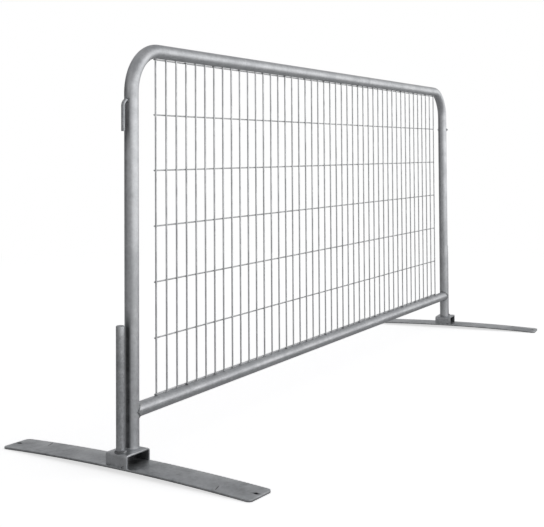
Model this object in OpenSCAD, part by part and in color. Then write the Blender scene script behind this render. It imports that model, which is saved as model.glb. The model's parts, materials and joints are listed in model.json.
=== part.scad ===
// Crowd control barrier: a bent tube hoop with a welded wire infill, standing on two lift-off flat feet.
// Millimetres, +Z up, +X along the barrier. The origin is on the ground, at the middle of the footprint.

/* [Hoop] */
// Distance between the axes of the two legs
leg_span = 2434; // [900:10:3200]
// Height of the top of the hoop above the ground
barrier_h = 1106; // [800:1:1500]
// Height of the bottom rail's axis above the ground
rail_h = 143; // [120:1:300]
// Outside diameter of the hoop and of the bottom rail
tube_d = 38; // [30:1:50]
// Wall of the hoop and of the bottom rail
tube_wall = 2; // [1.5:0.5:3]
// Radius of the two top corners, to the tube's axis
corner_r = 118; // [80:2:180]
// Diameter of the vent holes behind the bottom rail's ends
vent_d = 10; // [6:1:14]

/* [Wire infill] */
// Spacing of the upright wires
upright_pitch = 50; // [30:1:70]
// Diameter of the upright wires
upright_d = 5; // [4:0.5:7]
// How far the first upright wire stands inside the corner's bend
corner_inset = 11; // [0:1:12]
// Diameter of the lengthwise wires
line_d = 4; // [3:0.5:6]
// Gap between a rail and the lengthwise wire beside it
line_gap = 1; // [1:0.5:3]
// Depth that crossing wires are fused into each other
fuse_depth = 0.5; // [0.2:0.1:1]
// Every so many uprights, one is welded to the rails
tack_every = 3; // [1:1:6]
// Radius of a weld on the rails' wires
tack_r = 5; // [4:0.5:7]

/* [Coupling hook and eye] */
// Diameter of the hook's rod
hook_d = 10; // [8:1:12]
// Distance from the corner's bend down to the hook's root on the left leg
hook_below = 19; // [10:1:200]
// Gap between the leg and the hook's straight drop
hook_gap = 12; // [9:1:20]
// Radius of the hook's bend, to the rod's axis
hook_bend_r = 16; // [12:1:20]
// Length of the hook's straight drop
hook_drop = 64; // [40:2:100]
// Diameter of the eye's rod
eye_d = 8; // [6:1:10]
// How much lower than the hook's root the eye is
eye_drop = 35; // [17:1:60]
// Radius of the eye's nose, to the rod's axis
eye_nose_r = 10; // [10:1:14]
// Angle at which the eye's arms spread to the sides of the leg
eye_spread = 30; // [20:1:40]

/* [Feet] */
// Length of a foot bar
foot_l = 830; // [500:10:1100]
// How far a foot bar shows on each side of its saddle
foot_rim = 2.5; // [1:0.5:10]
// Thickness of a foot bar
foot_t = 6; // [5:1:10]
// Height of the arch under the middle of a foot bar
foot_arch = 11; // [6:1:20]
// Radius of a foot bar's corners
foot_corner_r = 13; // [8:1:20]
// Diameter of the peg holes at the ends of a foot bar
peg_d = 9; // [8:1:14]
// Distance from the end of a foot bar to a peg hole
peg_inset = 16; // [12:1:40]
// Turn of the left foot about its leg, in degrees
left_turn = -5; // [-30:0.5:30]
// Turn of the right foot about its leg, in degrees
right_turn = 6; // [-30:0.5:30]

/* [Saddles and spigots] */
// How far a saddle reaches past the outside of its leg
leg_rim = 10.5; // [9:0.5:20]
// How far a saddle reaches past the outside of its spare spigot
spigot_rim = 5.5; // [5:0.5:15]
// Length of a saddle, along the foot bar
saddle_l = 70; // [50:1:100]
// Height of a saddle above its foot bar
saddle_h = 32; // [24:1:50]
// Plate thickness of a saddle
saddle_t = 5; // [4:0.5:6]
// Outer radius of a saddle's bends
saddle_bend_r = 7; // [6:0.5:9]
// Radial play of a spigot in the bore of a leg
spigot_play = 6; // [3:0.5:7]
// Height of the spigots above the saddle
spigot_h = 322; // [150:2:400]
// Gap between two barriers' legs that stand on one foot
leg_gap = 7; // [4:1:20]
// Chamfer on the spigots' tops
spigot_chamfer = 2; // [1:0.5:3]
// Size of the welds at the spigots
spigot_weld = 5; // [3:0.5:6]
// Thickness of the seat ring between a leg and its saddle
ring_t = 5; // [3:0.5:8]
// Radial running clearance of the seat ring on its spigot
ring_clear = 0.1; // [0.05:0.05:0.5]

/* [Hidden] */
$fn = 64;
arc_fn = 1440;           // the foot bar's arch has a very large radius
weld_leg = 4;            // leg length of the weld beads on the tubes
end_gap = 0.3;           // how far the uprights stop short of the rails
weld_gap = 0.1;          // how far a bead on the hoop or the hook stands off it
cut = 1;                 // how far a cutter runs past what it cuts
line_rows = 7;           // lengthwise wires

tube_r = tube_d / 2;
bore_r = tube_r - tube_wall;
top_z = barrier_h - tube_r;                          // axis of the top rail
corner_z = top_z - corner_r;                         // where the legs end and the bends begin

// The uprights fill the hoop from one bend to the other, at their own spacing, and the
// lengthwise wires share the height between the rails.
first_upright = corner_r - corner_inset;
upright_count = floor((leg_span - 2 * first_upright) / upright_pitch) + 1;
line_top = top_z - tube_r - line_gap - line_d / 2;
line_low = rail_h + tube_r + line_gap + line_d / 2;
line_pitch = (line_top - line_low) / (line_rows - 1);

// The two layers of wire share the thickness of the infill about the hoop's plane.
layer_gap = (upright_d + line_d) / 2 - fuse_depth;
upright_y = -layer_gap / 2;
line_y = layer_gap / 2;

// A foot's own frame has its leg's axis at x = 0 and its spare spigot on the -x side.
saddle_bottom = foot_arch + foot_t;
saddle_top = saddle_bottom + saddle_h;
leg_bottom = saddle_top + ring_t;
spigot_r = bore_r - spigot_play;
spigot_gap = tube_d + leg_gap;
saddle_w = tube_r + leg_rim + spigot_gap + spigot_r + spigot_rim;
foot_w = saddle_w + 2 * foot_rim;
foot_offset = spigot_gap + spigot_r + spigot_rim - saddle_w / 2;  // leg's axis to bar's
arch_r = (pow(foot_l / 2, 2) + pow(foot_arch, 2)) / (2 * foot_arch);

// How far a turned foot reaches out past its leg's axis, which centres the origin.
function foot_reach(turn) = (foot_offset + foot_w / 2 - foot_corner_r) * cos(turn)
    + (foot_l / 2 - foot_corner_r) * abs(sin(turn)) + foot_corner_r;
mid_x = (foot_reach(left_turn) - foot_reach(right_turn)) / 2;
left_x = mid_x - leg_span / 2;
right_x = mid_x + leg_span / 2;
function upright_x(i) = left_x + first_upright + i * upright_pitch;
mesh_l = (upright_count - 1) * upright_pitch + upright_d;

// Uprights that are welded to the rails: every third one, and the last.
tacked = [for (i = [0 : upright_count - 1])
    if (i % tack_every == 0 || i == upright_count - 1) i];

hook_reach = tube_r + hook_gap + hook_d / 2;         // leg's axis to the hook's drop
hook_z = corner_z - hook_below;
eye_z = hook_z - eye_drop;

// The eye's nose stands off the leg so that its arms lie fused against the leg's sides.
eye_side = tube_r + eye_d / 2 - fuse_depth;          // leg's axis to the axis of an arm
eye_x = right_x + (eye_side - eye_nose_r) / sin(eye_spread);
eye_seat = (eye_side - eye_nose_r) * cos(eye_spread) / sin(eye_spread);  // nose to leg

// ---- Shapes used more than once ----

// A rod or tube section from a to b, which lie on a line along X.
module along_x(from, to, r) {
    translate([from, 0, 0]) rotate([0, 90, 0]) cylinder(h = to - from, r = r);
}

// The solid line of the hoop, with radius r: two legs, two corners and the top rail.
module hoop_line(r, low) {
    for (x = [left_x, right_x])
        translate([x, 0, low]) cylinder(h = corner_z - low, r = r);
    translate([0, 0, top_z]) along_x(left_x + corner_r, right_x - corner_r, r);
    translate([left_x + corner_r, 0, corner_z]) quarter_bend(corner_r, r, 90);
    translate([right_x - corner_r, 0, corner_z]) quarter_bend(corner_r, r, 0);
}

// A quarter of a ring in the XZ plane, from the angle start to start + 90.
module quarter_bend(bend_r, r, start) {
    rotate([90, 0, 0]) rotate([0, 0, start])
        rotate_extrude(angle = 90, $fn = 128) translate([bend_r, 0]) circle(r = r);
}

// The outside of one leg, as a cutter for what is welded to it.
module leg_cutter(x) {
    translate([x, 0, leg_bottom]) cylinder(h = top_z - leg_bottom, r = tube_r);
}

// The outside of a rail along X at height z, as a cutter.
module rail_cutter(z) {
    translate([0, 0, z]) along_x(left_x, right_x, tube_r);
}

// Welds between the tacked uprights and a rail, which is the child; side is 1 above the
// rail and -1 below it.
module rail_tacks(z, side, line_z) {
    edge = z + side * tube_r;
    for (i = tacked)
        difference() {
            translate([upright_x(i), upright_y, edge]) sphere(r = tack_r);
            children();
            translate([upright_x(i), upright_y, edge - 2 * tack_r])
                cylinder(h = 4 * tack_r, d = upright_d);
            translate([upright_x(i), line_y, line_z])
                along_x(-2 * tack_r, 2 * tack_r, line_d / 2);
        }
}

// A rectangle with round corners, centred on the origin.
module round_rectangle(w, l, r) {
    square([w - 2 * r, l], center = true);
    square([w, l - 2 * r], center = true);
    for (x = [-1, 1], y = [-1, 1])
        translate([x * (w / 2 - r), y * (l / 2 - r)]) circle(r = r);
}

// Places a piece of a foot: the left one as drawn, the right one mirrored, both turned.
module left_foot() {
    translate([left_x, 0, 0]) rotate([0, 0, left_turn]) children();
}

module right_foot() {
    translate([right_x, 0, 0]) rotate([0, 0, right_turn]) mirror([1, 0, 0]) children();
}

// ---- Hoop, rail and wires ----

module hoop() {
    color([0.66, 0.68, 0.69]) difference() {
        hoop_line(tube_r, leg_bottom);
        hoop_line(bore_r, leg_bottom - cut);
        translate([0, 0, rail_h])
            along_x(left_x, left_x + tube_r + cut, vent_d / 2);
        translate([0, 0, rail_h])
            along_x(right_x - tube_r - cut, right_x, vent_d / 2);
    }
}

module bottom_rail() {
    color([0.64, 0.66, 0.67]) difference() {
        translate([0, 0, rail_h]) along_x(left_x, right_x, tube_r);
        translate([0, 0, rail_h]) along_x(left_x - cut, right_x + cut, bore_r);
        leg_cutter(left_x);
        leg_cutter(right_x);
    }
}

// Bead that follows the joint between a leg and the bottom rail.
module rail_weld(x, side) {
    reach = tube_r + weld_leg;
    difference() {
        intersection() {
            translate([x, 0, rail_h - reach]) cylinder(h = 2 * reach, r = reach);
            translate([0, 0, rail_h])
                along_x(min(x, x + side * reach), max(x, x + side * reach), reach);
        }
        leg_cutter(x);
        rail_cutter(rail_h);
    }
}

module rail_weld_left() {
    color([0.55, 0.56, 0.57]) rail_weld(left_x, 1);
}

module rail_weld_right() {
    color([0.55, 0.56, 0.57]) rail_weld(right_x, -1);
}

module upright_wires() {
    low = rail_h + tube_r + end_gap;
    color([0.58, 0.59, 0.6])
        for (i = [0 : upright_count - 1])
            translate([upright_x(i), upright_y, low])
                cylinder(h = hoop_underside(i) - end_gap - low, d = upright_d);
}

// Height of the hoop's underside over upright number i, which is lower in the bends.
function hoop_underside(i) =
    let (from_leg = min(upright_x(i) - left_x, right_x - upright_x(i)),
         inside = max(0, corner_r - from_leg + upright_d / 2))
    corner_z + sqrt(pow(corner_r - tube_r, 2) - pow(inside, 2));

// Lengthwise wire number i, counted down from the top rail.
module line_wire(i) {
    start = upright_x(0) - upright_d / 2;
    color([0.6, 0.61, 0.62])
        translate([0, line_y, line_top - (i - 1) * line_pitch])
            along_x(start, start + mesh_l, line_d / 2);
}

module top_tacks() {
    color([0.4, 0.41, 0.42])
        rail_tacks(top_z, -1, line_top) hoop_line(tube_r + weld_gap, corner_z);
}

module bottom_tacks() {
    color([0.4, 0.41, 0.42])
        rail_tacks(rail_h, 1, line_low) rail_cutter(rail_h);
}

// ---- Hook and eye ----

module hook_root(r) {
    bend_x = left_x - hook_reach + hook_bend_r;
    translate([0, 0, hook_z]) along_x(bend_x, left_x, r);
    translate([bend_x, 0, hook_z - hook_bend_r]) quarter_bend(hook_bend_r, r, 90);
}

module hook() {
    rod_r = hook_d / 2;
    drop_x = left_x - hook_reach;
    color([0.68, 0.69, 0.7]) difference() {
        union() {
            hook_root(rod_r);
            translate([drop_x, 0, hook_z - hook_bend_r - hook_drop])
                cylinder(h = hook_drop, r = rod_r);
            translate([drop_x, 0, hook_z - hook_bend_r - hook_drop - 1])
                cylinder(h = 1, r1 = rod_r - 1, r2 = rod_r);
        }
        leg_cutter(left_x);
    }
}

module hook_weld() {
    rod_r = hook_d / 2;
    color([0.5, 0.51, 0.52]) difference() {
        intersection() {
            translate([0, 0, hook_z])
                along_x(left_x - tube_r - weld_leg, left_x, rod_r + weld_leg);
            translate([left_x, 0, hook_z - tube_r])
                cylinder(h = tube_d, r = tube_r + weld_leg);
        }
        leg_cutter(left_x);
        hook_root(rod_r + weld_gap);
    }
}

// A stretch of one straight arm of the eye; side is 1 or -1 in Y, and from and to are
// distances from the nose.
module eye_arm(side, r, from, to) {
    translate([eye_x, 0, eye_z]) rotate([0, 0, side * (90 - eye_spread)])
        translate([eye_nose_r, side * from, 0]) rotate([-side * 90, 0, 0])
            cylinder(h = to - from, r = r);
}

module eye() {
    rod_r = eye_d / 2;
    nose_turn = 180 - 2 * eye_spread;
    color([0.68, 0.69, 0.7]) difference() {
        union() {
            for (side = [-1, 1]) eye_arm(side, rod_r, 0, eye_seat + eye_d);
            translate([eye_x, 0, eye_z]) rotate([0, 0, -nose_turn / 2])
                rotate_extrude(angle = nose_turn) translate([eye_nose_r, 0]) circle(r = rod_r);
        }
        leg_cutter(right_x);
    }
}

// Beads where the eye's arms lie against the leg.
module eye_weld() {
    rod_r = eye_d / 2;
    color([0.5, 0.51, 0.52])
        for (side = [-1, 1])
            difference() {
                intersection() {
                    eye_arm(side, rod_r + weld_leg / 2, eye_seat - eye_d, eye_seat + eye_d - cut);
                    translate([right_x, 0, eye_z - eye_d])
                        cylinder(h = 2 * eye_d, r = tube_r + weld_leg);
                }
                leg_cutter(right_x);
                eye_arm(side, rod_r, 0, eye_seat + 2 * eye_d);
            }
}

// ---- Foot pieces, in a foot's own frame ----

module foot_bar() {
    difference() {
        intersection() {
            translate([-foot_offset, 0, 0])
                linear_extrude(height = saddle_bottom + cut)
                    round_rectangle(foot_w, foot_l, foot_corner_r);
            translate([-foot_offset - foot_w, 0, 0]) rotate([90, 0, 90])
                linear_extrude(height = 2 * foot_w)
                    translate([0, foot_arch - arch_r]) difference() {
                        circle(r = arch_r + foot_t, $fn = arc_fn);
                        circle(r = arch_r, $fn = arc_fn);
                        translate([0, -arch_r]) square(2 * arch_r, center = true);
                    }
        }
        for (y = [-1, 1])
            translate([-foot_offset, y * (foot_l / 2 - peg_inset), -cut])
                cylinder(h = saddle_bottom + 2 * cut, d = peg_d);
    }
}

// Outline of a saddle across the foot bar, standing on y = 0: a channel with its back up.
module saddle_outline() {
    inner_r = saddle_bend_r - saddle_t;
    difference() {
        saddle_arch(saddle_w, saddle_h, saddle_bend_r);
        translate([0, -cut])
            saddle_arch(saddle_w - 2 * saddle_t, saddle_h - saddle_t + cut, inner_r);
    }
}

// A block w wide and h high that stands on y = 0 and has round top corners.
module saddle_arch(w, h, r) {
    translate([-w / 2, 0]) square([w, h - r]);
    translate([-w / 2 + r, 0]) square([w - 2 * r, h]);
    for (x = [-1, 1]) translate([x * (w / 2 - r), h - r]) circle(r = r);
}

module saddle() {
    difference() {
        translate([-foot_offset, saddle_l / 2, saddle_bottom]) rotate([90, 0, 0])
            linear_extrude(height = saddle_l) saddle_outline();
        translate([0, 0, saddle_bottom]) cylinder(h = saddle_h + cut, r = spigot_r);
    }
}

// Short welds along the saddle's lower edges, on the foot bar's top face.
module saddle_tacks() {
    bead_r = (foot_w - saddle_w) / 2 + 2;
    difference() {
        for (x = [-1, 1], y = [-1, 1])
            translate([-foot_offset + x * (saddle_w / 2 - 2), y * saddle_l / 3, saddle_bottom])
                sphere(r = bead_r);
        saddle();
        translate([-foot_offset, 0, 0]) linear_extrude(height = saddle_bottom)
            square([2 * foot_w, 2 * saddle_l], center = true);
        translate([-foot_offset - saddle_w / 2 + saddle_t, -saddle_l, 0])
            cube([saddle_w - 2 * saddle_t, 2 * saddle_l, saddle_top]);
    }
}

// A round bar with a chamfered top, from the height low up to the spigots' common top.
module spigot(low) {
    top = saddle_top + spigot_h;
    translate([0, 0, low]) cylinder(h = top - spigot_chamfer - low, r = spigot_r);
    translate([0, 0, top - spigot_chamfer])
        cylinder(h = spigot_chamfer, r1 = spigot_r, r2 = spigot_r - spigot_chamfer);
}

// The leg's spigot goes down through the saddle, so that the ring seats flat around it.
module leg_spigot() {
    spigot(saddle_top - saddle_t - 1);
}

// Bead under the saddle's plate, around the lower end of the leg's spigot.
module leg_spigot_weld() {
    plate = saddle_top - saddle_t;
    difference() {
        translate([0, 0, plate - spigot_weld])
            cylinder(h = spigot_weld, r1 = spigot_r, r2 = spigot_r + spigot_weld);
        translate([0, 0, plate - 1]) cylinder(h = 1 + cut, r = spigot_r);
    }
}

// The spare spigot's lower end is bevelled for its weld.
module spare_spigot() {
    translate([-spigot_gap, 0, 0]) {
        spigot(saddle_top + spigot_weld);
        translate([0, 0, saddle_top])
            cylinder(h = spigot_weld, r1 = spigot_r - spigot_weld / 2, r2 = spigot_r);
    }
}

module spare_spigot_weld() {
    difference() {
        translate([-spigot_gap, 0, saddle_top])
            cylinder(h = spigot_weld, r1 = spigot_r + spigot_weld / 2, r2 = spigot_r + 0.5);
        spare_spigot();
    }
}

module seat_ring() {
    translate([0, 0, saddle_top]) difference() {
        cylinder(h = ring_t, r = tube_r);
        translate([0, 0, -cut]) cylinder(h = ring_t + 2 * cut, r = spigot_r + ring_clear);
    }
}

// ---- The two feet ----

steel = [0.5, 0.51, 0.52];
bead = [0.42, 0.43, 0.44];
zinc = [0.6, 0.61, 0.62];

module foot_bar_left() { color(steel) left_foot() foot_bar(); }
module saddle_left() { color(steel) left_foot() saddle(); }
module saddle_tacks_left() { color(bead) left_foot() saddle_tacks(); }
module leg_spigot_left() { color(zinc) left_foot() leg_spigot(); }
module leg_spigot_weld_left() { color(bead) left_foot() leg_spigot_weld(); }
module spare_spigot_left() { color(zinc) left_foot() spare_spigot(); }
module spare_spigot_weld_left() { color(bead) left_foot() spare_spigot_weld(); }
module seat_ring_left() { color(zinc) left_foot() seat_ring(); }
module foot_bar_right() { color(steel) right_foot() foot_bar(); }
module saddle_right() { color(steel) right_foot() saddle(); }
module saddle_tacks_right() { color(bead) right_foot() saddle_tacks(); }
module leg_spigot_right() { color(zinc) right_foot() leg_spigot(); }
module leg_spigot_weld_right() { color(bead) right_foot() leg_spigot_weld(); }
module spare_spigot_right() { color(zinc) right_foot() spare_spigot(); }
module spare_spigot_weld_right() { color(bead) right_foot() spare_spigot_weld(); }
module seat_ring_right() { color(zinc) right_foot() seat_ring(); }

hoop();
bottom_rail();
rail_weld_left();
rail_weld_right();
upright_wires();
line_wire(1);  // line_wire_1
line_wire(2);  // line_wire_2
line_wire(3);  // line_wire_3
line_wire(4);  // line_wire_4
line_wire(5);  // line_wire_5
line_wire(6);  // line_wire_6
line_wire(7);  // line_wire_7
top_tacks();
bottom_tacks();
hook();
hook_weld();
eye();
eye_weld();
foot_bar_left();
saddle_left();
saddle_tacks_left();
leg_spigot_left();
leg_spigot_weld_left();
spare_spigot_left();
spare_spigot_weld_left();
seat_ring_left();
foot_bar_right();
saddle_right();
saddle_tacks_right();
leg_spigot_right();
leg_spigot_weld_right();
spare_spigot_right();
spare_spigot_weld_right();
seat_ring_right();
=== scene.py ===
"""Finished looks of a hot-dip galvanised crowd control barrier.

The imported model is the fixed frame. Each class below draws one sub-assembly around it, in
metres: the tube frame, the wire infill, the coupling hook and eye, and the two feet.
"""

import json
import logging
import math
from dataclasses import dataclass, field
from enum import Enum
from typing import Any, Callable, Iterable, Sequence

import bmesh
import bpy
from bmesh.types import BMEdge, BMesh, BMVert
from mathutils import Matrix, Vector, noise


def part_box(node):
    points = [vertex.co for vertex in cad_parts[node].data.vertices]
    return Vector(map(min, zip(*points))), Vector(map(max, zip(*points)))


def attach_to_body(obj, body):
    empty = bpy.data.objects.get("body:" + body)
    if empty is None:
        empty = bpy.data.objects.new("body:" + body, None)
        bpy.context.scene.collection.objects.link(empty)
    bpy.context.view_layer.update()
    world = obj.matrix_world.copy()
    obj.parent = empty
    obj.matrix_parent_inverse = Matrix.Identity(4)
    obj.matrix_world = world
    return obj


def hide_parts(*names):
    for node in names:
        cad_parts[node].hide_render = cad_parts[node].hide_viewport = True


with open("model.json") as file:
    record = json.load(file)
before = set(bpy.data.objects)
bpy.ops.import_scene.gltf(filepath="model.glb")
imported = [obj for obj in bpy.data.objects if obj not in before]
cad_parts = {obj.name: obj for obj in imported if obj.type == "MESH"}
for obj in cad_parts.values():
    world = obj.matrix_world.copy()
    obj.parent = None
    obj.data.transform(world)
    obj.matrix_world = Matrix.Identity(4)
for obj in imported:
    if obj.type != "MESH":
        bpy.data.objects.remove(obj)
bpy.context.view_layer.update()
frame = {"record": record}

LOG = logging.getLogger("barrier")
MM = 0.001
X_AXIS, Y_AXIS, Z_AXIS = Vector((1, 0, 0)), Vector((0, 1, 0)), Vector((0, 0, 1))
# The soil mark carries painted shade in recesses and behind parts, and caked dirt.
EDGE_MARK, SHADE_AND_SOIL_MARK = "edge", "shade_and_soil"
SEED = 1

Colour = tuple[float, float, float]
Size = tuple[float, float, float]
Socket = bpy.types.NodeSocket
Node = bpy.types.Node
Piece = bpy.types.Object
# Near-black colour of painted shade and caked dirt.
SHADE_AND_CAKE: Colour = (0.035, 0.037, 0.04)


class Slot(Enum):
    """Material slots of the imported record."""

    TUBE = "tube_zinc"
    WIRE = "wire_zinc"
    ROD = "rod_zinc"
    PLATE = "plate_zinc"
    WELD = "weld_zinc"


class Side(Enum):
    """The two ends of the barrier."""

    LEFT = "left"
    RIGHT = "right"

    @property
    def outward(self) -> int:
        """Direction along X that leads away from the hoop."""
        return -1 if self is Side.LEFT else 1


# ---- Finishes ----


class NodeSheet:
    """Shader nodes of one material or world, with short calls for the patterns that zinc needs."""

    def __init__(self, owner: bpy.types.Material | bpy.types.World) -> None:
        """Starts an empty sheet.

        Args:
            owner: what the nodes belong to.
        """
        owner.use_nodes = True
        self.tree = owner.node_tree
        self.tree.nodes.clear()
        self.spot = self.add("TexCoord")
        self.place = self.spot.outputs["Object"]

    def link(self, source: Socket, target: Socket) -> None:
        """Joins an output to an input."""
        self.tree.links.new(source, target)

    def add(self, kind: str, **inputs: Any) -> Node:
        """Adds a node.

        Args:
            kind: the node's type, without the word that all of them start with.
            inputs: a value or an output for each input that is set, by its name.

        Returns:
            The node.
        """
        node = self.tree.nodes.new(f"ShaderNode{kind}")
        for name, value in inputs.items():
            target = node.inputs[name.replace("_", " ")]
            if isinstance(value, Socket):
                self.link(value, target)
            else:
                target.default_value = value
        return node

    def stretched(self, stretch: Sequence[float]) -> Socket:
        """The object's own coordinates, scaled by a factor along X, Y and Z."""
        return self.add("Mapping", Vector=self.place, Scale=stretch).outputs["Vector"]

    def noise(self, size: float, detail: float = 4, rough: float = 0.55,
              place: Socket | None = None, warp: float = 0.0) -> Socket:
        """Cloudy pattern.

        Args:
            size: width of one cloud in metres.
            detail: octaves of finer clouds.
            rough: share of the finer clouds.
            place: coordinates, or None for the object's own.
            warp: distortion of the clouds.

        Returns:
            A value round 0.5.
        """
        return self.add("TexNoise", Vector=place or self.place, Scale=1 / size, Detail=detail,
                        Roughness=rough, Distortion=warp).outputs["Fac"]

    def band(self, value: Socket, low: float, high: float, to_low: float = 0.0,
             to_high: float = 1.0) -> Socket:
        """Maps a stretch of a value smoothly to another stretch.

        Args:
            value: what is mapped.
            low: start of the stretch.
            high: end of the stretch.
            to_low: result at the start.
            to_high: result at the end.

        Returns:
            The mapped value.
        """
        node = self.add("MapRange", Value=value, From_Min=low, From_Max=high, To_Min=to_low,
                        To_Max=to_high)
        node.interpolation_type = "SMOOTHSTEP"
        return node.outputs["Result"]

    def sum(self, kind: str, first: Socket, second: Socket | float) -> Socket:
        """Arithmetic on two values.

        Args:
            kind: Math node operation.
            first: first value.
            second: second value, a socket or a number.

        Returns:
            The result.
        """
        node = self.add("Math")
        node.operation = kind
        self.link(first, node.inputs[0])
        if isinstance(second, float):
            node.inputs[1].default_value = second
        else:
            self.link(second, node.inputs[1])
        return node.outputs["Value"]

    def vector(self, kind: str, first: Socket, second: Sequence[float] = (0, 0, 0)) -> Socket:
        """Arithmetic on a vector.

        Args:
            kind: Vector Math node operation.
            first: the vector.
            second: second vector, where the operation takes one.

        Returns:
            The result, a number for a length or a dot product.
        """
        node = self.add("VectorMath")
        node.operation = kind
        self.link(first, node.inputs[0])
        node.inputs[1].default_value = second
        return node.outputs["Value" if kind in ("LENGTH", "DOT_PRODUCT") else "Vector"]

    def blend(self, share: Socket | float, first: Socket | Colour, second: Socket | Colour,
              kind: str = "MIX") -> Socket:
        """Mixes two colours.

        Args:
            share: how much of the second colour shows.
            first: colour at 0.
            second: colour at 1.
            kind: Mix node blend type.

        Returns:
            The mixed colour.
        """
        node = self.add("Mix", Factor=share)
        node.data_type = "RGBA"
        node.blend_type = kind
        targets = [entry for entry in node.inputs if entry.type == "RGBA"]
        for target, colour in zip(targets, (first, second)):
            if isinstance(colour, tuple):
                target.default_value = (*colour, 1)
            else:
                self.link(colour, target)
        return next(result for result in node.outputs if result.type == "RGBA")

    def either(self, share: Socket, first: Node, second: Node) -> Node:
        """Mixes two shaders, the first at 0 and the second at 1."""
        node = self.add("MixShader")
        for source, target in zip((share, first.outputs[0], second.outputs[0]), node.inputs):
            self.link(source, target)
        return node

    def camera_ray(self) -> Socket:
        """1 where the backdrop or floor is seen directly, 0 where it only gives light."""
        return self.add("LightPath").outputs["Is Camera Ray"]

    def marked(self, mark: str) -> Socket:
        """Share of edge wear, or of dirt and painted shade, that the mesh itself carries."""
        node = self.add("Attribute")
        node.attribute_name = mark
        return node.outputs["Fac"]


@dataclass(frozen=True)
class ZincFinish:
    """One look of hot-dip zinc: cloudy patches, spangle, drain marks, dirt, painted shade and
    pitting.

    Widths are in metres; drain, grime and mottle are shares of the colour.
    """

    slot: Slot
    pale: Colour
    dull: Colour
    dirt: Colour = (0.10, 0.105, 0.11)
    bloom: Colour = (0.72, 0.735, 0.75)
    patch: float = 0.09
    spangle: float = 0.007
    spangle_contrast: float = 0.10
    drain_w: float = 0.011
    drain_stretch: Sequence[float] = (1, 1, 0.05)
    drain: float = 0.35
    grime_w: float = 0.045
    grime: float = 0.35
    speck_w: float = 0.0035
    rough_low: float = 0.34
    rough_high: float = 0.56
    pit_w: float = 0.0022
    lump_w: float = 0.018
    relief: float = 0.00035
    mottle_w: float = 0.014
    mottle: float = 0.11
    metal: float = 0.9

    def material(self) -> bpy.types.Material:
        """Builds the shader.

        Returns:
            The material, which reads object coordinates, the mark of edge wear and the mark of
            dirt and painted shade.
        """
        material = bpy.data.materials.new(self.slot.value)
        sheet = NodeSheet(material)
        clouds = sheet.noise(self.patch, detail=6, rough=0.6, warp=0.6)
        colour = sheet.blend(sheet.band(clouds, 0.38, 0.62), self.dull, self.pale)
        grain = sheet.add("TexVoronoi", Vector=sheet.place, Scale=1 / self.spangle)
        crystal = sheet.add("SeparateColor", Color=grain.outputs["Color"]).outputs["Red"]
        spangle = sheet.band(crystal, 0, 1, 1 - self.spangle_contrast, 1 + self.spangle_contrast)
        mottle = sheet.band(sheet.noise(self.mottle_w, detail=8, rough=0.7), 0.3, 0.7,
                            1 - self.mottle, 1 + self.mottle)
        shade = sheet.sum("MULTIPLY", spangle, mottle)
        grey = sheet.add("CombineColor", Red=shade, Green=shade, Blue=shade).outputs["Color"]
        colour = sheet.blend(1.0, colour, grey, "MULTIPLY")
        drains = sheet.noise(self.drain_w, detail=3, place=sheet.stretched(self.drain_stretch))
        drained = sheet.band(drains, 0.56, 0.74, 0, self.drain)
        colour = sheet.blend(drained, colour, self.bloom)
        # Cloudy pattern of grime, which also varies the strength of the painted shade.
        shade_and_soil = sheet.noise(self.grime_w, detail=9, rough=0.72, warp=0.3)
        soiled = sheet.band(shade_and_soil, 0.53, 0.70, 0, self.grime)
        colour = sheet.blend(soiled, colour, self.dirt)
        specks = sheet.band(sheet.noise(self.speck_w, detail=2), 0.68, 0.78, 0, 0.35)
        colour = sheet.blend(specks, colour, self.bloom)
        worn = sheet.sum("MULTIPLY", sheet.marked(EDGE_MARK),
                         sheet.band(shade_and_soil, 0.35, 0.6, 0.75, 0.15))
        colour = sheet.blend(worn, colour, self.bloom)
        # Painted shade in recesses and behind parts, and caked dirt: near black where the mesh
        # carries the soil mark.
        shaded_and_caked = sheet.sum("MULTIPLY", sheet.marked(SHADE_AND_SOIL_MARK),
                          sheet.band(shade_and_soil, 0.35, 0.65, 0.8, 1.0))
        colour = sheet.blend(shaded_and_caked, colour, SHADE_AND_CAKE)

        rough = sheet.band(clouds, 0.3, 0.7, self.rough_high, self.rough_low)
        rough = sheet.sum("ADD", rough, sheet.band(crystal, 0, 1, -0.05, 0.05))
        rough = sheet.sum("ADD", rough, sheet.sum("MULTIPLY", soiled, 0.35))
        rough = sheet.sum("SUBTRACT", rough, sheet.sum("MULTIPLY", worn, 0.12))

        fine = sheet.noise(self.pit_w, detail=3)
        lumps = sheet.noise(self.lump_w, detail=3, place=sheet.stretched((1, 1, 0.5)))
        height = sheet.sum("ADD", sheet.sum("MULTIPLY", fine, 0.18), lumps)
        height = sheet.sum("ADD", height, sheet.sum("MULTIPLY", crystal, 0.05))
        bump = sheet.add("Bump", Strength=0.7, Distance=self.relief, Height=height)
        shader = sheet.add("BsdfPrincipled", Metallic=self.metal, Base_Color=colour,
                           Roughness=rough, Normal=bump.outputs["Normal"])
        sheet.add("OutputMaterial", Surface=shader.outputs["BSDF"])
        return material


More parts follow.
